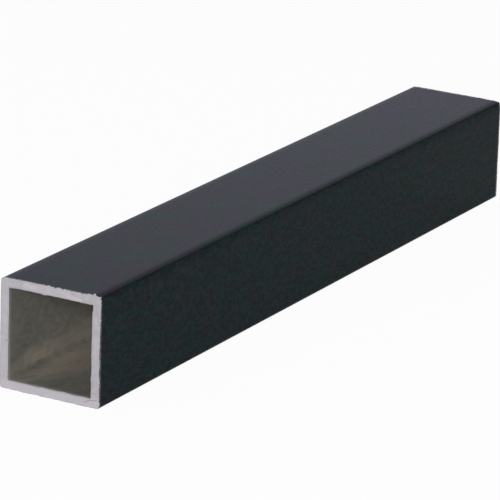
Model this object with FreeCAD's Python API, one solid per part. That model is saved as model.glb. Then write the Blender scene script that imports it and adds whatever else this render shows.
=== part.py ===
"""Foundation sleeve: one sawn length of square aluminium tube, coated black outside.

The tube lies on the ground along Y, with its width along X and its height along Z.
The origin is the middle of the underside. Millimetres, +Z up.
A square post slides into the bore, which is open at both ends.
The die leaves the outer corners rounded and the corners of the bore nearly sharp.
"""

import FreeCAD, Part
import os

# Driving dimensions
OUTSIDE = 50.0  # side of the square, outside
WALL = 4.0  # thickness of all four walls
LENGTH = 375.0  # from sawn end to sawn end
OUTER_RADIUS = 1.75  # rounding of the four long outside edges
BORE_RADIUS = 0.5  # rounding of the four long edges of the bore

# Worked out from them
BORE = OUTSIDE - 2 * WALL  # side of the square opening


def square_bar(side, radius):
    """Solid square bar on the tube's own axis, as long as the tube, its long edges rounded."""
    lowest = (OUTSIDE - side) / 2
    corner = FreeCAD.Vector(-side / 2, -LENGTH / 2, lowest)
    bar = Part.makeBox(side, LENGTH, side, corner)
    long_edges = [edge for edge in bar.Edges if abs(edge.Curve.Direction.y) > 0.5]
    return bar.makeFillet(radius, long_edges)


def square_tube():
    """The whole sleeve: the outside bar with the bore taken out of it from end to end."""
    return square_bar(OUTSIDE, OUTER_RADIUS).cut(square_bar(BORE, BORE_RADIUS))


os.makedirs("parts", exist_ok=True)
square_tube().exportStep("parts/square_tube.step")
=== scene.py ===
"""Looks of a foundation sleeve: one sawn length of square aluminium tube, coated black outside.

The tube lies along Y. Its near end, at the lowest Y, faces the camera. Metres, +Z up.
"""

import math

import bpy
import numpy as np
from mathutils import Matrix, Vector


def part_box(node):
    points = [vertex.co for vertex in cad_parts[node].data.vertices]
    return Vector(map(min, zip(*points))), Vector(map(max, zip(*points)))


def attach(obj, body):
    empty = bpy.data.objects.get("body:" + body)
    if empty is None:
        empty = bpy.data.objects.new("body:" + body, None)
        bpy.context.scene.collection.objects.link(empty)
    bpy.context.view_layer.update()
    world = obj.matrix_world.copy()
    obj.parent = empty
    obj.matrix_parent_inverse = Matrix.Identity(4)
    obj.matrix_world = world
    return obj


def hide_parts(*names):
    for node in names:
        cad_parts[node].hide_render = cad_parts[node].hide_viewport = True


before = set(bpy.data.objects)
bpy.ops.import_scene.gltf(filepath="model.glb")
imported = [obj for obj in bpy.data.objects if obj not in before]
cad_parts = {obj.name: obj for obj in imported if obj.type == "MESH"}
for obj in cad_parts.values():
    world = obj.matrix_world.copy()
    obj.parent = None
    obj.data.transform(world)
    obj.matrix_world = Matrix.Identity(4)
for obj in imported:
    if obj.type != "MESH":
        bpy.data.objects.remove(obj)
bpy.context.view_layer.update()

MM = 0.001

# Sizes of the tube. The outside comes from the frame.
tube_low, tube_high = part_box("square_tube")
OUTSIDE = tube_high.x - tube_low.x
LENGTH = tube_high.y - tube_low.y
MID_HEIGHT = (tube_low.z + tube_high.z) / 2
WALL = 4 * MM
OUTER_RADII = np.array([0.75, 1.45, 1.45, 1.45]) * MM  # top right, top left, bottom left, bottom right
OVERSIZE = 0.12 * MM  # how much the stock's top and sides stand outside their nominal size
SHOULDER_WIDTH = 5 * MM  # the outside faces fall away gently over this width beside a corner
SHOULDER_DROP_LEFT = 0.35 * MM  # and would be this much lower at the top left corner itself
SHOULDER_DROP_RIGHT = 0.68 * MM  # and at the top right one, while the foot's corners keep full size
SHOULDER_POWER = 2.3
BORE_RADII = np.full(4, 0.5 * MM)
BORE = OUTSIDE - 2 * WALL
BORE_RISE = 0.05 * MM  # the die's core sat a little high
BORE_SHIFT = -0.22 * MM  # and to the left

# How finely the tube is divided
FLAT_STEPS = 124  # along each flat side of the square
CORNER_STEPS = 8  # round each corner
SKIN_ROWS = 24  # from the middle of the length to a cut, closer together towards the cut
EDGE_ROWS = 4  # over the broken edge of a cut
CUT_ROWS = 18  # across the wall on a cut face

# The saw cuts
EDGE_BREAK = 0.10 * MM  # rounding left on the outside edge of a cut
BORE_EDGE_BREAK = 0.28 * MM  # and on the edge of the bore
COAT_THICKNESS = 0.20 * MM  # shows as a dark line round the cut
NEAR_LEAN = (0.0047, 0.006)  # how far the near cut moves along Y for each metre of X and of height
FAR_LEAN = (-0.012, -0.010)
NEAR_EXTRA = 0.0  # how much further along Y a cut lies than its nominal place
FAR_EXTRA = 0.6 * MM
BLADE_RADIUS = 150 * MM
BLADE_CENTRE = (-0.8 * BLADE_RADIUS, -0.6 * BLADE_RADIUS)  # X, and height above the tube's axis
CHATTER_PITCH = 1.7 * MM
CHATTER_HEIGHT = 0.012 * MM

# Burr: how far it stands out of each outside face and into the bore, and how far it runs back
BURR_TOP = 0.50 * MM
BURR_TOP_SLOPE = 0.45  # share by which it is higher at the right end of the top, and lower at the left
BURR_LEFT = 0.08 * MM
BURR_RIGHT = 0.15 * MM
BURR_FOOT = -0.22 * MM
BURR_IN = 0.20 * MM
BURR_DEPTH = 0.45 * MM
BURR_WAVES = (9, 110)  # how many waves its ragged line has round the tube, from fewest to most
BORE_BURR_WAVES = (7, 100)
SIDE_FACING = 0.7  # how far a place has to face a side to take its teeth, where 1 is straight
NEAR_SEED = 3  # for an end's outside burr, and the next number is for its burr in the bore
FAR_SEED = 11
NEAR_BURR = 1.0  # share of the outside burr that an end keeps
FAR_BURR = 0.25
# Single teeth of the burr, or dents where it is broken off, in millimetres: place, height and half
# width. The place is along X at the top and low edges, and the height above the middle at the others.
NEAR_TEETH = {
    "top": ((-19.0, -0.25, 6.0), (2.2, -0.20, 0.9), (3.8, 0.10, 0.8), (7.4, 0.30, 0.9),
            (12.7, -0.30, 2.0), (13.9, -0.20, 0.8), (17.1, -0.27, 0.9), (18.7, 0.25, 0.6),
            (21.8, 1.2, 0.6), (23.5, 0.5, 1.0)),
    "right": ((23.6, 0.3, 1.8), (21.0, 0.15, 4.0), (-2.0, -0.35, 12.0), (-1.5, -0.25, 1.2),
              (-9.0, -0.2, 1.0), (4.5, 0.15, 0.9), (-5.5, 0.2, 1.0), (-13.5, 0.15, 1.1)),
    "bore top": ((-20.0, 0.30, 2.0), (-3.0, 0.35, 1.6), (-13.0, 0.2, 1.0), (16.5, 0.25, 1.2),
                 (19.5, 0.15, 1.5)),
    "bore low": ((-3.4, 0.35, 1.0), (-7.0, -0.30, 1.3), (7.5, 0.35, 2.2), (12.5, -0.2, 1.5),
                 (17.5, 0.25, 1.5)),
    "bore left": ((14.0, 0.12, 8.0), (-3.0, 0.25, 1.2), (-9.0, -0.2, 1.4), (-14.5, 0.2, 1.2)),
    "bore right": ((20.0, -0.45, 2.6), (3.0, 0.08, 9.0), (-2.0, 0.2, 1.2), (-7.0, -0.2, 1.4),
                   (-12.0, 0.2, 1.2)),
}
FAR_TEETH = {
    "top": ((-14.0, 0.08, 0.9), (8.5, 0.1, 0.7)),
    "right": ((4.0, 0.1, 1.2), (-8.0, -0.1, 2.0)),
    "bore top": ((4.0, 0.3, 1.2),),
    "bore low": ((-8.0, 0.25, 1.0),),
    "bore left": ((6.0, 0.2, 1.2),),
    "bore right": ((-10.0, 0.2, 1.4),),
}

# Camera: where it stands, and which way it is turned
CAMERA_PLACE = Vector((0.84395, -1.50878, 0.57223))
CAMERA_AZIMUTH = math.radians(29.506)
CAMERA_ELEVATION = math.radians(17.811)
CAMERA_ROLL = math.radians(1.761)
CAMERA_LENS = 281.0  # this and the sensor's width are in millimetres
CAMERA_SENSOR = 36.0
CAMERA_CLIP_START = 0.05
CAMERA_CLIP_END = 100.0

# Light
ROOM_STRENGTH = 0.45
BACKDROP_COLOUR = (0.98, 0.99, 1.19, 1)
BACKDROP_STRENGTH = 0.95
BACKDROP_TOP = (math.sin(math.radians(27)), math.sin(math.radians(17)))  # it fades out upwards
BACKDROP_RIGHT = (-0.15, -0.40)  # towards +X
BACKDROP_FRONT = (-0.1, 0.4)  # and towards the camera
DIM_RIGHT = (0.0, 0.25)  # beyond the backdrop's right end, above the floor, the room is dimmer
DIM_UP = (0.0, 0.15)
DIM_SHARE = 0.75
FRONT_LAMP_PLACE = Vector((0.95, -2.10, 0.78))
FRONT_LAMP_AIM = Vector((0, -0.15, 0.03))
FRONT_LAMP_SIZE = 0.6
FRONT_LAMP_POWER = 42.0

# Floor
FLOOR_REACH = 60.0  # from its middle to each edge
FLOOR_COLOUR = (0.9, 0.9, 0.9, 1)
# Share of the floor's white that doesn't depend on the light that reaches it
FLOOR_GLOW = 0.95
FLOOR_GLOW_IN_GLOSS = 0.23


# Shape


def rounded_square(side, radii):
    """Points and outward directions round a square with rounded corners, centred on zero.

    A quarter is one flat side, then an arc of a quarter turn about the corner's centre. The first
    quarter is the right side and the top right corner, and each next one is turned by 90 degrees.
    """
    half = side / 2
    turn = np.linspace(0, math.pi / 2, CORNER_STEPS, endpoint=False)
    flat_out = np.tile([1.0, 0.0], (FLAT_STEPS, 1))
    arc_out = np.stack([np.cos(turn), np.sin(turn)], 1)
    points = []
    outward = []
    for corner, radius in enumerate(radii):
        angle = corner * math.pi / 2
        turned = np.array([[math.cos(angle), math.sin(angle)], [-math.sin(angle), math.cos(angle)]])
        along = np.linspace(radii[corner - 1] - half, half - radius, FLAT_STEPS, endpoint=False)
        flat = np.stack([np.full(FLAT_STEPS, half), along], 1)
        arc = half - radius + radius * arc_out
        points.append(np.concatenate([flat, arc]) @ turned)
        outward.append(np.concatenate([flat_out, arc_out]) @ turned)
    return np.concatenate(points), np.concatenate(outward)


def outside_profile():
    """Points and outward directions round the outside of the tube, centred on the nominal square.

    It is the rounded square, widened by the oversize on all sides but the underside. A shoulder then
    lowers each point by the drop times a power of how near it is to the corner, as a share of the
    shoulder's width. The drop is blended from left to right and fades to nothing at the foot.
    """
    points, outward = rounded_square(OUTSIDE, OUTER_RADII)
    half = OUTSIDE / 2
    from_corner = half - np.abs(points).min(1)
    nearness = np.clip(1 - from_corner / SHOULDER_WIDTH, 0, 1)
    right_share, height_share = (points.T / half + 1) / 2
    corner_drop = SHOULDER_DROP_LEFT + (SHOULDER_DROP_RIGHT - SHOULDER_DROP_LEFT) * right_share
    drop = height_share * corner_drop
    points = points - outward * (drop * nearness ** SHOULDER_POWER)[:, None]
    x = points[:, 0] * (1 + OVERSIZE / half)
    z = points[:, 1] + OVERSIZE * height_share
    return np.stack([x, z], 1), outward


def section_rows():
    """Depth behind the cut, and share of the wall crossed, for the rows of one half of the tube.

    They run from the middle of the length along the outside to the cut, over its broken edge, across
    the wall, over the bore's edge and back along the bore. Each edge is a quarter circle. One row
    of the cut lies where the coat ends.
    """
    skin = np.geomspace(LENGTH / 2, EDGE_BREAK, SKIN_ROWS)
    bore_skin = np.geomspace(LENGTH / 2, BORE_EDGE_BREAK, SKIN_ROWS)
    turn = np.linspace(0, math.pi / 2, EDGE_ROWS + 1)[1:-1]
    rise = 1 - np.sin(turn)
    inset = 1 - np.cos(turn)
    across = np.linspace(COAT_THICKNESS / WALL, 1 - BORE_EDGE_BREAK / WALL, CUT_ROWS - 1)
    across = np.concatenate([[EDGE_BREAK / WALL], across])
    depth = np.concatenate([skin, EDGE_BREAK * rise, np.zeros(CUT_ROWS), BORE_EDGE_BREAK * rise[::-1],
                            bore_skin[::-1]])
    share = np.concatenate([np.zeros(SKIN_ROWS), EDGE_BREAK / WALL * inset, across,
                            1 - BORE_EDGE_BREAK / WALL * inset[::-1], np.ones(SKIN_ROWS)])
    return depth, share


def ragged_line(count, seed, fewest, most):
    """A closed random line of that many values round the tube, from 0 to 1.2.

    It is a sum of cosines that fit a whole number of times round, from the fewest waves up to the
    most. The phases are random, and the heights fall with the square root of the number of waves.
    The sum is divided by four times its spread, and a half is added.
    """
    rng = np.random.default_rng(seed)
    waves = np.arange(fewest, most)
    phase = rng.uniform(0, 2 * math.pi, len(waves))
    place = np.arange(count)[:, None] / count
    line = (np.cos(2 * math.pi * waves * place + phase) / np.sqrt(waves)).sum(1)
    return np.clip(0.5 + line / (4 * line.std()), 0, 1.2)


def tooth_line(along, facing, teeth):
    """Height of single teeth, or dents, on the side that faces that way: a sum of bells along it."""
    centre, height, width = np.array(teeth).T[:, :, None] * MM
    bells = height * np.exp(-((along - centre) / width) ** 2)
    return bells.sum(0) * (facing > SIDE_FACING)


def half_tube(end, seed, burr, teeth, extra, lean):
    """Grid of points, rows by places round, for the half of the tube at that end (-1 near, +1 far).

    A point is the outside and bore profiles blended by the share of the wall crossed. The burr then
    pushes it out of the outside or into the bore, by a ragged height times a bell of the depth
    behind the cut, which also falls exponentially across the wall. Along Y the cut is moved by
    extra and by lean times X and height, evenly less towards the middle of the length, and its
    face by the saw's chatter, a cosine of the distance to the blade's centre.
    """
    depth, share = section_rows()
    outer, outward = outside_profile()
    bore, bore_outward = rounded_square(BORE, BORE_RADII)
    count = len(outer)
    behind = depth[:, None]
    crossed = share[:, None]
    x = (1 - crossed) * outer[:, 0] + crossed * (bore[:, 0] + BORE_SHIFT)
    z = (1 - crossed) * outer[:, 1] + crossed * (bore[:, 1] + BORE_RISE)

    right, up = outward.T
    bore_right, bore_up = bore_outward.T
    near_cut = np.exp(-(behind / BURR_DEPTH) ** 2)
    top_height = BURR_TOP * (1 + BURR_TOP_SLOPE * outer[:, 0] / (OUTSIDE / 2))
    side_height = (top_height * np.clip(up, 0, 1) + BURR_FOOT * np.clip(-up, 0, 1)
                   + BURR_LEFT * np.clip(-right, 0, 1) + BURR_RIGHT * np.clip(right, 0, 1))
    outer_burr = (burr * ragged_line(count, seed, *BURR_WAVES) * side_height
                  + tooth_line(outer[:, 0], up, teeth["top"])
                  + tooth_line(outer[:, 1], right, teeth["right"]))
    outer_burr = outer_burr * near_cut * np.exp(-crossed * WALL / BURR_DEPTH)
    bore_burr = (BURR_IN * ragged_line(count, seed + 1, *BORE_BURR_WAVES)
                 + tooth_line(bore[:, 0], bore_up, teeth["bore top"])
                 + tooth_line(bore[:, 0], -bore_up, teeth["bore low"])
                 + tooth_line(bore[:, 1], -bore_right, teeth["bore left"])
                 + tooth_line(bore[:, 1], bore_right, teeth["bore right"]))
    bore_burr = bore_burr * near_cut * np.exp(-(1 - crossed) * WALL / BURR_DEPTH)
    x = x + right * outer_burr - bore_right * bore_burr
    z = z + up * outer_burr - bore_up * bore_burr

    from_blade = np.hypot(x - BLADE_CENTRE[0], z - BLADE_CENTRE[1])
    chatter = CHATTER_HEIGHT * np.cos(2 * math.pi * from_blade / CHATTER_PITCH)
    shift = (extra + lean[0] * x + lean[1] * z) * (1 - behind / (LENGTH / 2))
    y = end * (LENGTH / 2 - behind) + shift + chatter * (behind < EDGE_BREAK)
    return np.stack([x, y, z + MID_HEIGHT], 2)


def new_object(name, data):
    """An object with that mesh, lamp or camera, put into the scene."""
    made = bpy.data.objects.new(name, data)
    bpy.context.scene.collection.objects.link(made)
    return made


def mesh_piece(name, points, faces, materials, material_of_face):
    """An object at the origin with that mesh, smooth, and a material for each face."""
    mesh = bpy.data.meshes.new(name)
    mesh.from_pydata(points.reshape(-1, 3), [], faces)
    for material in materials:
        mesh.materials.append(material)
    mesh.polygons.foreach_set("material_index", material_of_face.astype(np.int32))
    mesh.polygons.foreach_set("use_smooth", np.ones(len(faces), bool))
    mesh.update()
    return new_object(name, mesh)


def sleeve_tube(coat, cut, bore):
    """The whole tube as one closed skin: the near half's rows, then the far half's in reverse.

    The rows close on themselves along the section and round the tube, like a ring with a square hole.
    """
    near = half_tube(-1, NEAR_SEED, NEAR_BURR, NEAR_TEETH, NEAR_EXTRA, NEAR_LEAN)
    far = half_tube(1, FAR_SEED, FAR_BURR, FAR_TEETH, FAR_EXTRA, FAR_LEAN)[::-1]
    grid = np.concatenate([near[:-1], far[:-1]])
    rows, count = grid.shape[:2]
    row = np.arange(rows)[:, None]
    place = np.arange(count)[None, :]
    next_row = (row + 1) % rows
    next_place = (place + 1) % count
    corners = [row * count + place, row * count + next_place,
               next_row * count + next_place, next_row * count + place]
    faces = np.stack([np.broadcast_to(corner, (rows, count)) for corner in corners], 2).reshape(-1, 4)

    # The coat's faces end at the row where the coat does, and the cut's with the bore's edge
    cut_start = SKIN_ROWS + EDGE_ROWS - 1
    cut_end = SKIN_ROWS + 2 * (EDGE_ROWS - 1) + CUT_ROWS - 1
    half_rows = len(near) - 1
    in_half = np.arange(rows) % half_rows
    from_near = np.where(np.arange(rows) < half_rows, in_half, half_rows - 1 - in_half)
    kind = np.where(from_near <= cut_start, 0, np.where(from_near < cut_end, 1, 2))
    return mesh_piece("sleeve_tube", grid, faces, [coat, cut, bore], np.repeat(kind, count))


# Helpers for nodes


def put(tree, kind, settings=None, **values):
    """A new node, with its settings, and each named input set to a value or joined to an output."""
    node = tree.nodes.new(kind)
    for name, value in (settings or {}).items():
        setattr(node, name, value)
    for name, value in values.items():
        join(tree, node.inputs[name.replace("_", " ")], value)
    return node


def join(tree, socket, value):
    """Links an output to the socket, or sets the socket to a plain value."""
    if isinstance(value, bpy.types.NodeSocket):
        tree.links.new(value, socket)
    else:
        socket.default_value = value


def maths(tree, operation, *values):
    """Output of a Math node."""
    node = put(tree, "ShaderNodeMath", {"operation": operation})
    for socket, value in zip(node.inputs, values):
        join(tree, socket, value)
    return node.outputs[0]


def vector_maths(tree, operation, *values, result="Vector"):
    """Output of a Vector Math node."""
    node = put(tree, "ShaderNodeVectorMath", {"operation": operation})
    for socket, value in zip(node.inputs, values):
        join(tree, socket, value)
    return node.outputs[result]


def ramp(tree, value, low, high, to_low=0.0, to_high=1.0):
    """Value carried smoothly from low..high to to_low..to_high."""
    node = put(tree, "ShaderNodeMapRange", {"interpolation_type": "SMOOTHSTEP"},
               Value=value, From_Min=low, From_Max=high, To_Min=to_low, To_Max=to_high)
    return node.outputs["Result"]


def blend_colour(tree, share, first, second):
    """Colour between first and second. The node's colours are its inputs 6 and 7 and its output 2."""
    node = put(tree, "ShaderNodeMix", {"data_type": "RGBA"})
    join(tree, node.inputs[0], share)
    join(tree, node.inputs[6], first)
    join(tree, node.inputs[7], second)
    return node.outputs[2]


def noise(tree, vector, scale, detail=3.0, roughness=0.5):
    """Value from 0 to 1 of a cloud with that many lumps to a metre."""
    node = put(tree, "ShaderNodeTexNoise", Vector=vector, Scale=scale, Detail=detail,
               Roughness=roughness)
    return node.outputs["Fac"]


def new_group(name, inputs, outputs):
    """A node group with named inputs (kind and value) and outputs, and its two end nodes."""
    tree = bpy.data.node_groups.new(name, "ShaderNodeTree")
    for label, (kind, value) in inputs.items():
        socket = tree.interface.new_socket(name=label, in_out="INPUT", socket_type="NodeSocket" + kind)
        if value is not None:
            socket.default_value = value
    for label, kind in outputs.items():
        tree.interface.new_socket(name=label, in_out="OUTPUT", socket_type="NodeSocket" + kind)
    return tree, tree.nodes.new("NodeGroupInput"), tree.nodes.new("NodeGroupOutput")


def place_group(tree, group, **values):
    """A group's node in a material, with its own values."""
    return put(tree, "ShaderNodeGroup", {"node_tree": group}, **values)


# Effects that the finishes share


def cloudy_colour_group():
    """Two colours mixed by a soft cloud: its lumps, and how sharply they part, are inputs."""
    tree, given, result = new_group(
        "Cloudy colour",
        {"Position": ("Vector", None), "Lumps": ("Float", 40.0), "Sharpness": ("Float", 1.0),
         "Dark": ("Color", None), "Light": ("Color", None)},
        {"Colour": "Color", "Cloud": "Float"})
    cloud = noise(tree, given.outputs["Position"], given.outputs["Lumps"], 4.0, 0.55)
    centred = maths(tree, "SUBTRACT", cloud, 0.5)
    steeper = maths(tree, "MULTIPLY_ADD", centred, given.outputs["Sharpness"], 0.5)
    share = ramp(tree, steeper, 0.2, 0.8)
    colour = blend_colour(tree, share, given.outputs["Dark"], given.outputs["Light"])
    join(tree, result.inputs["Colour"], colour)
    join(tree, result.inputs["Cloud"], share)
    return tree


def grain_group():
    """Height of a fine grain: a coarse roll and a fine tooth added in given shares."""
    tree, given, result = new_group(
        "Grain",
        {"Position": ("Vector", None), "Coarse Lumps": ("Float", 700.0), "Fine Lumps": ("Float", 4000.0),
         "Fine Share": ("Float", 0.4)},
        {"Height": "Float"})
    coarse = noise(tree, given.outputs["Position"], given.outputs["Coarse Lumps"], 2.0)
    fine = noise(tree, given.outputs["Position"], given.outputs["Fine Lumps"], 2.0)
    step = maths(tree, "SUBTRACT", fine, coarse)
    height = maths(tree, "MULTIPLY_ADD", step, given.outputs["Fine Share"], coarse)
    join(tree, result.inputs["Height"], height)
    return tree


def specks_group():
    """Small round specks, one in a share of the cells of a loose lattice."""
    tree, given, result = new_group(
        "Specks",
        {"Position": ("Vector", None), "Cells": ("Float", 300.0), "Share": ("Float", 0.05),
         "Radius": ("Float", 0.3)},
        {"Mask": "Float"})
    cells = put(tree, "ShaderNodeTexVoronoi", Vector=given.outputs["Position"],
                Scale=given.outputs["Cells"])
    pick = put(tree, "ShaderNodeSeparateColor", Color=cells.outputs["Color"])
    chosen = maths(tree, "LESS_THAN", pick.outputs[0], given.outputs["Share"])
    inner = maths(tree, "MULTIPLY", given.outputs["Radius"], 0.5)
    dot = ramp(tree, cells.outputs["Distance"], given.outputs["Radius"], inner)
    join(tree, result.inputs["Mask"], maths(tree, "MULTIPLY", dot, chosen))
    return tree


def die_lines_group():
    """Lines drawn along the tube by the die: a cloud squeezed across and stretched along Y."""
    tree, given, result = new_group(
        "Die lines",
        {"Position": ("Vector", None), "Across": ("Float", 900.0), "Along": ("Float", 6.0)},
        {"Height": "Float"})
    scale = put(tree, "ShaderNodeCombineXYZ", X=given.outputs["Across"], Y=given.outputs["Along"],
                Z=given.outputs["Across"])
    squeezed = vector_maths(tree, "MULTIPLY", given.outputs["Position"], scale.outputs[0])
    join(tree, result.inputs["Height"], noise(tree, squeezed, 1.0, 3.0, 0.6))
    return tree


def from_cut_group():
    """Distance in metres from the nearest sawn end: half the length less the size of Y."""
    tree, given, result = new_group("From cut", {"Position": ("Vector", None)}, {"Distance": "Float"})
    parts = put(tree, "ShaderNodeSeparateXYZ", Vector=given.outputs["Position"])
    size = maths(tree, "ABSOLUTE", parts.outputs["Y"])
    join(tree, result.inputs["Distance"], maths(tree, "SUBTRACT", LENGTH / 2, size))
    return tree


def stroke_group():
    """Soft stroke from one point to another: 1 on its line, falling to 0 at its half width.

    The nearest point of the line is start + t (end - start), where t is the share of the way that
    the position lies along it, kept between 0 and 1.
    """
    tree, given, result = new_group(
        "Stroke",
        {"Position": ("Vector", None), "Start": ("Vector", None), "End": ("Vector", None),
         "Half Width": ("Float", 0.001), "Core": ("Float", 0.3)},
        {"Mask": "Float"})
    way = vector_maths(tree, "SUBTRACT", given.outputs["End"], given.outputs["Start"])
    offset = vector_maths(tree, "SUBTRACT", given.outputs["Position"], given.outputs["Start"])
    along = vector_maths(tree, "DOT_PRODUCT", offset, way, result="Value")
    way_squared = vector_maths(tree, "DOT_PRODUCT", way, way, result="Value")
    share = put(tree, "ShaderNodeClamp", Value=maths(tree, "DIVIDE", along, way_squared))
    step = put(tree, "ShaderNodeVectorMath", {"operation": "SCALE"}, Scale=share.outputs[0])
    join(tree, step.inputs[0], way)
    gap = vector_maths(tree, "DISTANCE", offset, step.outputs["Vector"], result="Value")
    core = maths(tree, "MULTIPLY", given.outputs["Half Width"], given.outputs["Core"])
    join(tree, result.inputs["Mask"], ramp(tree, gap, given.outputs["Half Width"], core))
    return tree


def strokes(tree, group, place, marks):
    """The strongest of several strokes, each given in millimetres: start, end, half width, strength."""
    total = 0.0
    for start, end, half_width, strength in marks:
        mark = place_group(tree, group, Position=place, Start=Vector(start) * MM, End=Vector(end) * MM,
                           Half_Width=half_width * MM)
        total = maths(tree, "MAXIMUM", maths(tree, "MULTIPLY", mark.outputs["Mask"], strength), total)
    return total


# Finishes

DRAWN_SHARE = 0.55  # share of the length that is left where clouds look drawn out along the tube
RELIEF_STRENGTH = 0.5
RELIEF_DEPTH = 0.02 * MM


def empty_material(name):
    """A material and its tree, without any nodes."""
    material = bpy.data.materials.new(name)
    material.use_nodes = True
    material.node_tree.nodes.clear()
    return material, material.node_tree


def new_material(name):
    """A material, its tree, its Principled shader and its Object coordinates."""
    material, tree = empty_material(name)
    shader = tree.nodes.new("ShaderNodeBsdfPrincipled")
    put(tree, "ShaderNodeOutputMaterial", Surface=shader.outputs[0])
    place = tree.nodes.new("ShaderNodeTexCoord").outputs["Object"]
    return material, tree, shader, place


def drawn_out(tree, place):
    """The position with its part along the tube shortened, so that clouds there look drawn out."""
    return vector_maths(tree, "MULTIPLY", place, (1.0, DRAWN_SHARE, 1.0))


def off_bore_axis(tree, place):
    """How far the position lies from the bore's axis, sideways and up or down."""
    parts = put(tree, "ShaderNodeSeparateXYZ", Vector=place)
    sideways = maths(tree, "SUBTRACT", parts.outputs["X"], BORE_SHIFT)
    upward = maths(tree, "SUBTRACT", parts.outputs["Z"], MID_HEIGHT + BORE_RISE)
    return maths(tree, "ABSOLUTE", sideways), maths(tree, "ABSOLUTE", upward)


def roughen(tree, shader, height):
    """Fine relief on a finish, from a height that is mostly between 0 and 1."""
    bump = put(tree, "ShaderNodeBump", Strength=RELIEF_STRENGTH, Distance=RELIEF_DEPTH, Height=height)
    join(tree, shader.inputs["Normal"], bump.outputs[0])


# The coat: its colours, how far back from a cut it is worn thin, and where it broke away with the
# burr, on the top face beside the near cut
COAT_GLINT = (0.0090, 0.0240, 0.0270, 1)
COAT_DUST = (0.10, 0.10, 0.11, 1)
CHIPPED_METAL = (0.45, 0.43, 0.45, 1)
WORN_DEPTH = 1.5 * MM
COAT_CHIPS = (
    ((16.8, -187.6, 50.3), (23.2, -187.6, 50.3), 1.1, 1.0),
    ((21.8, -187.4, 51.0), (21.8, -187.2, 50.6), 1.2, 1.0),
    ((2.6, -187.5, 50.3), (3.0, -187.4, 50.3), 0.8, 1.0),
)


def satin_black_coat(cloudy, grain, specks, from_cut, stroke):
    """Black coat, teal in the body, mottled, with painted light that makes its top face lighter, worn
    thin and chipped to bare metal at the cuts.
    """
    material, tree, shader, place = new_material("satin_black_coat")
    drawn = drawn_out(tree, place)
    hue = place_group(tree, cloudy, Position=drawn, Lumps=220.0, Sharpness=2.4,
                      Dark=(0.0000, 0.0086, 0.0084, 1), Light=(0.0070, 0.0056, 0.0088, 1))
    fine = ramp(tree, noise(tree, drawn, 700.0, 2.0), 0.35, 0.65, 0.0, 0.60)
    body = blend_colour(tree, fine, hue.outputs["Colour"], COAT_GLINT)
    parts = put(tree, "ShaderNodeSeparateXYZ", Vector=place)
    on_top = ramp(tree, parts.outputs["Z"], OUTSIDE - 1.0 * MM, OUTSIDE)
    # The coat runs unbroken up to the cuts on the underside and the left
    on_foot = ramp(tree, parts.outputs["Z"], 1.0 * MM, 0.4 * MM)
    on_left = ramp(tree, parts.outputs["X"], 1.0 * MM - OUTSIDE / 2, 0.4 * MM - OUTSIDE / 2)
    unbroken = maths(tree, "MAXIMUM", on_foot, on_left)
    # Painted light: the top face takes a lighter copy of the coat's mottle
    lit_top_mottle = place_group(tree, cloudy, Position=drawn, Lumps=110.0, Sharpness=2.4,
                          Dark=(0.0015, 0.0165, 0.0125, 1), Light=(0.0118, 0.0075, 0.0172, 1))
    body = blend_colour(tree, on_top, body, lit_top_mottle.outputs["Colour"])
    dust = place_group(tree, specks, Position=place, Cells=260.0, Share=0.02, Radius=0.12)
    dusty = blend_colour(tree, maths(tree, "MULTIPLY", dust.outputs["Mask"], 0.10), body, COAT_DUST)
    behind = place_group(tree, from_cut, Position=place).outputs["Distance"]
    ragged = noise(tree, place, 1100.0, 3.0, 0.6)
    reach = ramp(tree, ragged, 0.42, 0.72, -0.3 * MM, 0.7 * MM)
    reach = maths(tree, "MULTIPLY_ADD", on_top, 0.45 * MM, reach)
    reach = maths(tree, "MULTIPLY_ADD", unbroken, -0.6 * MM, reach)
    chipped = ramp(tree, maths(tree, "SUBTRACT", reach, behind), -0.02 * MM, 0.06 * MM)
    chipped = maths(tree, "MAXIMUM", chipped, strokes(tree, stroke, place, COAT_CHIPS))
    worn = maths(tree, "MULTIPLY", ramp(tree, behind, WORN_DEPTH, 0.0, 0.0, 0.26),
                 ramp(tree, ragged, 0.3, 0.7, 0.5, 1.5))
    chipped = maths(tree, "MAXIMUM", chipped, worn)
    join(tree, shader.inputs["Base Color"], blend_colour(tree, chipped, dusty, CHIPPED_METAL))
    join(tree, shader.inputs["Metallic"], maths(tree, "MULTIPLY", chipped, 0.8))
    satin = ramp(tree, noise(tree, drawn, 520.0, 2.0), 0.35, 0.65, 0.266, 0.294)
    bare = ramp(tree, chipped, 0.0, 1.0, 0.0, 0.45)
    join(tree, shader.inputs["Roughness"], maths(tree, "MAXIMUM", satin, bare))
    shader.inputs["Specular IOR Level"].default_value = 0.040
    skin = place_group(tree, grain, Position=place, Coarse_Lumps=750.0, Fine_Lumps=3600.0,
                       Fine_Share=0.35)
    roughen(tree, shader, maths(tree, "MULTIPLY_ADD", chipped, -2.0, skin.outputs["Height"]))
    return material
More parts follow.
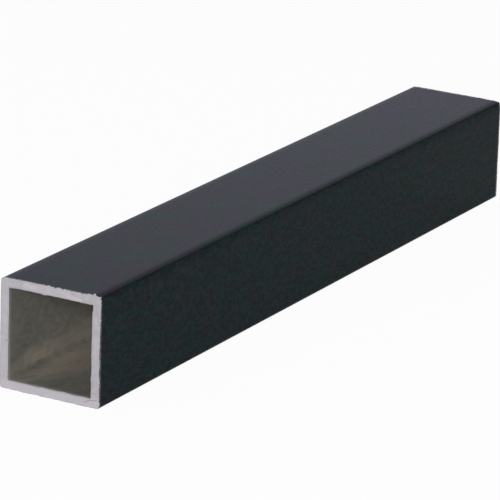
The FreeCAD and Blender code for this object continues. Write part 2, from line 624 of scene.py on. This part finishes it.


# The near cut: its colours, the width of the painted shade along its edge at the bore, dark scratches,
# and brighter places where the saw smeared the metal on its top wall, and painted light over its left
# and bottom walls
SMEARED_AND_LIT_METAL = (0.55, 0.52, 0.56, 1)
RIM_SHADE_METAL = (0.30, 0.29, 0.30, 1)
SCRATCHED_METAL = (0.16, 0.15, 0.19, 1)
RIM_SHADE_WIDTH = 0.8 * MM
CUT_SCRATCHES = (
    ((17.6, -187.5, 2.0), (20.4, -187.5, 3.4), 0.35, 0.45),
    ((20.4, -187.5, 3.4), (24.0, -187.5, 3.8), 0.35, 0.45),
    ((-22.4, -187.5, 21.9), (-21.0, -187.5, 22.1), 0.45, 0.5),
)
# The first three brighten places on the top wall where the saw smeared the metal; the last three are
# painted light over the whole left and bottom walls
CUT_SMEARS_AND_LIT_WALLS = (
    ((-13.0, -187.5, 48.4), (-8.0, -187.5, 48.2), 1.8, 0.8),
    ((8.5, -187.5, 47.6), (14.5, -187.5, 46.6), 1.6, 0.9),
    ((-8.0, -187.5, 48.0), (8.0, -187.5, 48.0), 3.5, 0.4),
    ((-23.0, -187.5, 47.0), (-23.0, -187.5, 18.0), 4.5, 0.35),
    ((-23.0, -187.5, 18.0), (-23.0, -187.5, 2.0), 4.5, 0.45),
    ((-24.0, -187.5, 2.0), (24.0, -187.5, 2.0), 4.5, 0.75),
)


def sawn_aluminium(cloudy, grain, stroke):
    """Bright bare metal of the cut, faintly patchy, with painted light over its left and bottom walls,
    and darker with painted shade where it rolls over into the bore.
    """
    material, tree, shader, place = new_material("sawn_aluminium")
    metal = place_group(tree, cloudy, Position=place, Lumps=330.0, Sharpness=1.5,
                        Dark=(0.425, 0.405, 0.435, 1), Light=(0.49, 0.47, 0.505, 1))
    # Smears on the top wall, and painted light over the left and bottom walls
    smears_and_light = strokes(tree, stroke, place, CUT_SMEARS_AND_LIT_WALLS)
    patched = blend_colour(tree, smears_and_light, metal.outputs["Colour"], SMEARED_AND_LIT_METAL)
    reach = maths(tree, "MAXIMUM", *off_bore_axis(tree, place))
    # Painted shade along the cut's edge at the bore, where it rolls over
    rim_shade = ramp(tree, reach, BORE / 2 + RIM_SHADE_WIDTH, BORE / 2, 0.0, 0.4)
    rim_shaded = blend_colour(tree, rim_shade, patched, RIM_SHADE_METAL)
    scratch = strokes(tree, stroke, place, CUT_SCRATCHES)
    join(tree, shader.inputs["Base Color"], blend_colour(tree, scratch, rim_shaded, SCRATCHED_METAL))
    shader.inputs["Metallic"].default_value = 0.6
    join(tree, shader.inputs["Roughness"], ramp(tree, metal.outputs["Cloud"], 0.0, 1.0, 0.52, 0.44))
    tooth = place_group(tree, grain, Position=place, Coarse_Lumps=900.0, Fine_Lumps=5000.0,
                        Fine_Share=0.5)
    roughen(tree, shader, maths(tree, "MULTIPLY_ADD", scratch, -2.0, tooth.outputs["Height"]))
    return material


# The bore: its colours, how far back from a cut it is darkened by painted shade or rubbed, how wide
# the painted shade of its corners is, and its marks near the near mouth: tan stains, pale marks and dark
# marks
MOUTH_SHADE = (0.12, 0.125, 0.11, 1)
PALE_METAL = (0.40, 0.36, 0.31, 1)
TAN_STAIN = (0.44, 0.375, 0.30, 1)
DRAWN_METAL = (0.24, 0.22, 0.19, 1)
CORNER_SHADE = (0.12, 0.11, 0.09, 1)
GRIT = (0.16, 0.16, 0.13, 1)
RUBBED_METAL = (0.52, 0.50, 0.49, 1)
MOUTH_DEPTH = 45 * MM
RUBBED_DEPTH = 2.6 * MM
CORNER_WIDTH = 2.4 * MM
MARK_WANDER = 8 * MM  # the outlines of tan and pale marks wander by up to half of this each way
BORE_TAN_STAINS = (
    ((-15.0, -155.0, 4.0), (-11.0, -136.0, 4.0), 9.0, 0.65),
    ((-7.0, -158.0, 4.0), (-4.0, -148.0, 4.0), 8.0, 0.5),
    ((-21.0, -165.0, 8.8), (-21.0, -158.0, 8.8), 4.6, 0.5),
    ((-13.5, -170.0, 4.0), (-11.0, -163.0, 4.0), 5.0, 0.5),
)
BORE_PALE_MARKS = (
    ((-17.0, -183.0, 4.0), (-14.0, -160.0, 4.0), 8.0, 0.55),
    ((-12.0, -176.0, 4.0), (-4.0, -158.0, 4.0), 9.0, 0.35),
    ((-18.0, -150.0, 4.0), (-15.0, -120.0, 4.0), 8.0, 0.45),
    ((-21.0, -172.0, 8.7), (-21.0, -100.0, 10.5), 5.5, 0.6),
    ((-21.0, -186.0, 8.3), (-21.0, -172.0, 8.7), 4.5, 0.3),
    ((-21.0, -176.2, 19.8), (-21.0, -175.8, 19.9), 0.5, 1.0),
    ((8.8, -176.1, 4.0), (8.8, -175.7, 4.0), 0.6, 0.9),
)
# The second dark mark is painted shade in the bore's top left corner at the mouth; the third makes the
# floor darker towards its right
BORE_DARK_MARKS = (
    ((-17.7, -183.4, 4.0), (-14.8, -176.8, 4.0), 0.6, 0.6),
    ((-21.0, -187.5, 46.0), (-21.0, -187.5, 45.0), 2.5, 0.6),
    ((12.0, -187.0, 4.0), (20.0, -170.0, 4.0), 4.0, 0.35),
)


def bare_bore(cloudy, specks, die_lines, from_cut, stroke):
    """Dull bare metal of the bore, brownish, with die lines and stains, and painted shade that darkens
    its corners and its mouths.
    """
    material, tree, shader, place = new_material("bare_bore")
    drawn = drawn_out(tree, place)
    film = place_group(tree, cloudy, Position=drawn, Lumps=100.0, Sharpness=1.7,
                       Dark=(0.225, 0.225, 0.20, 1), Light=(0.30, 0.275, 0.24, 1))
    mottle = place_group(tree, cloudy, Position=drawn, Lumps=420.0, Sharpness=2.2,
                         Dark=(0.165, 0.18, 0.145, 1), Light=(0.41, 0.355, 0.315, 1))
    mottled = blend_colour(tree, 0.35, film.outputs["Colour"], mottle.outputs["Colour"])
    behind = place_group(tree, from_cut, Position=place).outputs["Distance"]
    # Painted shade: each mouth of the bore is darker, fading out over the mouth's depth
    mouth = ramp(tree, behind, MOUTH_DEPTH, 0.0, 0.0, 0.54)
    mouth_shaded = blend_colour(tree, mouth, mottled, MOUTH_SHADE)
    wander = put(tree, "ShaderNodeTexNoise", Vector=drawn, Scale=200.0, Detail=2.0)
    shift = vector_maths(tree, "SUBTRACT", wander.outputs["Color"], (0.5, 0.5, 0.5))
    uneven = vector_maths(tree, "MULTIPLY_ADD", shift, (MARK_WANDER, MARK_WANDER, MARK_WANDER), place)
    pale = strokes(tree, stroke, uneven, BORE_PALE_MARKS)
    paled = blend_colour(tree, pale, mouth_shaded, PALE_METAL)
    tan = strokes(tree, stroke, uneven, BORE_TAN_STAINS)
    stained = blend_colour(tree, tan, paled, TAN_STAIN)
    lines = place_group(tree, die_lines, Position=place, Across=500.0, Along=30.0)
    line_share = ramp(tree, lines.outputs["Height"], 0.40, 0.70, 0.0, 0.35)
    streaked = blend_colour(tree, line_share, stained, DRAWN_METAL)
    sideways, upward = off_bore_axis(tree, place)
    from_side = maths(tree, "SUBTRACT", BORE / 2, sideways)
    from_floor = maths(tree, "SUBTRACT", BORE / 2, upward)
    from_corner = maths(tree, "MAXIMUM", from_side, from_floor)
    # Painted shade along the bore's corners
    corner = ramp(tree, from_corner, CORNER_WIDTH, 0.4 * MM, 0.0, 0.15)
    dark = maths(tree, "MAXIMUM", corner, strokes(tree, stroke, place, BORE_DARK_MARKS))
    shaded_and_marked = blend_colour(tree, dark, streaked, CORNER_SHADE)
    grit = place_group(tree, specks, Position=place, Cells=330.0, Share=0.10, Radius=0.30)
    specked = blend_colour(tree, maths(tree, "MULTIPLY", grit.outputs["Mask"], 0.4), shaded_and_marked, GRIT)
    rubbed = ramp(tree, behind, RUBBED_DEPTH, 0.0, 0.0, 0.75)
    join(tree, shader.inputs["Base Color"], blend_colour(tree, rubbed, specked, RUBBED_METAL))
    shader.inputs["Metallic"].default_value = 0.35
    shader.inputs["Roughness"].default_value = 0.55
    roughen(tree, shader, lines.outputs["Height"])
    return material


# Floor, light and camera


def pale_floor():
    """Wide pale floor that shows white, and keeps part of the tube's shadow."""
    material, tree = empty_material("pale_floor")
    plain = put(tree, "ShaderNodeBsdfDiffuse", Color=FLOOR_COLOUR)
    white = put(tree, "ShaderNodeEmission", Color=(1, 1, 1, 1), Strength=1.0)
    path = tree.nodes.new("ShaderNodeLightPath").outputs
    in_gloss = maths(tree, "MAXIMUM", path["Is Glossy Ray"], path["Is Transmission Ray"])
    glow = maths(tree, "MAXIMUM", maths(tree, "MULTIPLY", path["Is Camera Ray"], FLOOR_GLOW),
                 maths(tree, "MULTIPLY", in_gloss, FLOOR_GLOW_IN_GLOSS))
    mixed = put(tree, "ShaderNodeMixShader")
    join(tree, mixed.inputs[0], glow)
    join(tree, mixed.inputs[1], plain.outputs[0])
    join(tree, mixed.inputs[2], white.outputs[0])
    put(tree, "ShaderNodeOutputMaterial", Surface=mixed.outputs[0])
    corners = FLOOR_REACH * np.array([[-1, -1, 0], [1, -1, 0], [1, 1, 0], [-1, 1, 0]])
    floor = mesh_piece("floor", corners, np.array([[0, 1, 2, 3]]), [material], np.zeros(1))


def studio_light():
    """White room, a lit backdrop low behind the tube, dimmer to its right, and a soft lamp in front."""
    world = bpy.data.worlds.new("studio")
    bpy.context.scene.world = world
    world.use_nodes = True
    tree = world.node_tree
    tree.nodes.clear()
    direction = tree.nodes.new("ShaderNodeTexCoord").outputs["Generated"]
    parts = put(tree, "ShaderNodeSeparateXYZ", Vector=direction)
    low = ramp(tree, parts.outputs["Z"], *BACKDROP_TOP)
    left = ramp(tree, parts.outputs["X"], *BACKDROP_RIGHT)
    behind = ramp(tree, parts.outputs["Y"], *BACKDROP_FRONT)
    backdrop = maths(tree, "MULTIPLY", low, maths(tree, "MULTIPLY", left, behind))
    colour = blend_colour(tree, backdrop, (1.0, 1.0, 1.0, 1), BACKDROP_COLOUR)
    strength = ramp(tree, backdrop, 0.0, 1.0, ROOM_STRENGTH, BACKDROP_STRENGTH)
    right = ramp(tree, parts.outputs["X"], *DIM_RIGHT)
    up = ramp(tree, parts.outputs["Z"], *DIM_UP)
    dim = maths(tree, "MULTIPLY", up, maths(tree, "MULTIPLY", right, behind))
    dimmed = maths(tree, "MULTIPLY", strength, ramp(tree, dim, 0.0, 1.0, 1.0, DIM_SHARE))
    background = put(tree, "ShaderNodeBackground", Color=colour, Strength=dimmed)
    put(tree, "ShaderNodeOutputWorld", Surface=background.outputs[0])

    lamp = bpy.data.lights.new("front_lamp", "AREA")
    lamp.shape = "DISK"
    lamp.size = FRONT_LAMP_SIZE
    lamp.energy = FRONT_LAMP_POWER
    facing = (FRONT_LAMP_AIM - FRONT_LAMP_PLACE).to_track_quat("-Z", "Y").to_matrix().to_4x4()
    new_object("front_lamp", lamp).matrix_world = Matrix.Translation(FRONT_LAMP_PLACE) @ facing


def photo_camera():
    """Camera at the photo's place: turned about Z, tipped down, then rolled about its own axis."""
    camera = bpy.data.cameras.new("camera")
    camera.lens = CAMERA_LENS
    camera.sensor_width = CAMERA_SENSOR
    camera.clip_start = CAMERA_CLIP_START
    camera.clip_end = CAMERA_CLIP_END
    holder = new_object("camera", camera)
    turn = (Matrix.Rotation(CAMERA_AZIMUTH, 4, "Z")
            @ Matrix.Rotation(math.pi / 2 - CAMERA_ELEVATION, 4, "X")
            @ Matrix.Rotation(CAMERA_ROLL, 4, "Z"))
    holder.matrix_world = Matrix.Translation(CAMERA_PLACE) @ turn
    bpy.context.scene.camera = holder


cloudy_colour = cloudy_colour_group()
grain = grain_group()
specks = specks_group()
die_lines = die_lines_group()
from_cut = from_cut_group()
stroke = stroke_group()

tube = sleeve_tube(
    satin_black_coat(cloudy_colour, grain, specks, from_cut, stroke),
    sawn_aluminium(cloudy_colour, grain, stroke),
    bare_bore(cloudy_colour, specks, die_lines, from_cut, stroke))
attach(tube, "root")
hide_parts("square_tube")

pale_floor()
studio_light()
photo_camera()
bpy.context.scene.view_settings.view_transform = "Standard"
